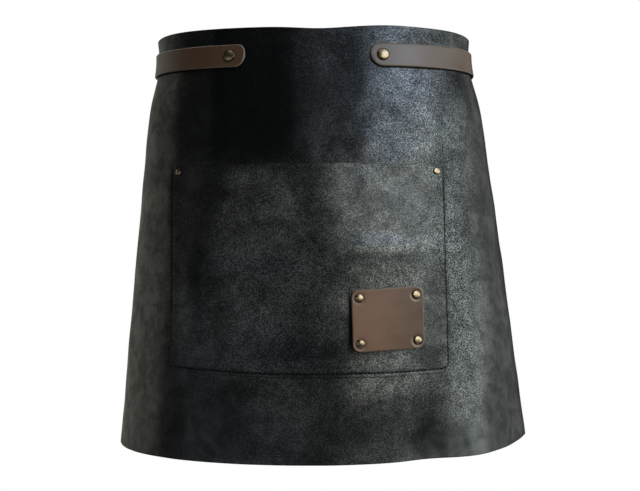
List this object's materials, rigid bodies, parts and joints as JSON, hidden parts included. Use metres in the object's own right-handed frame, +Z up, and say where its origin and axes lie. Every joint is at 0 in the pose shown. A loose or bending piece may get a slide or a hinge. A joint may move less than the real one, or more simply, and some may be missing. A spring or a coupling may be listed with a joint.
{
  "type": "leather waist apron",
  "caption": "Half apron of black waxed leather, wrapped round the waist, with a wide patch pocket, a bare riveted patch and brown straps that close behind.",
  "frame": {"origin": "middle of the waist loop, half way up the straps, where the waist goes through", "axes": "+Z up along the wearer, -Y out of the front panel, +X to the right seen from the front"},
  "size_m": [0.419, 0.2967, 0.4215],
  "materials": {
    "black_leather": "waxed, finely crackled",
    "brown_leather": "smooth, burnished edges",
    "brass": "antique"
  },
  "bodies": {
    "root": {"apron_panel": "black_leather", "pocket": "black_leather", "strap_left": "brown_leather", "strap_right": "brown_leather", "patch": "brown_leather", "strap_rivet_left": "brass", "strap_rivet_right": "brass", "pocket_rivet_left": "brass", "pocket_rivet_right": "brass", "patch_rivet_top_left": "brass", "patch_rivet_top_right": "brass", "patch_rivet_bottom_left": "brass", "patch_rivet_bottom_right": "brass", "back_stud": "brass"}
  },
  "joints": []
}
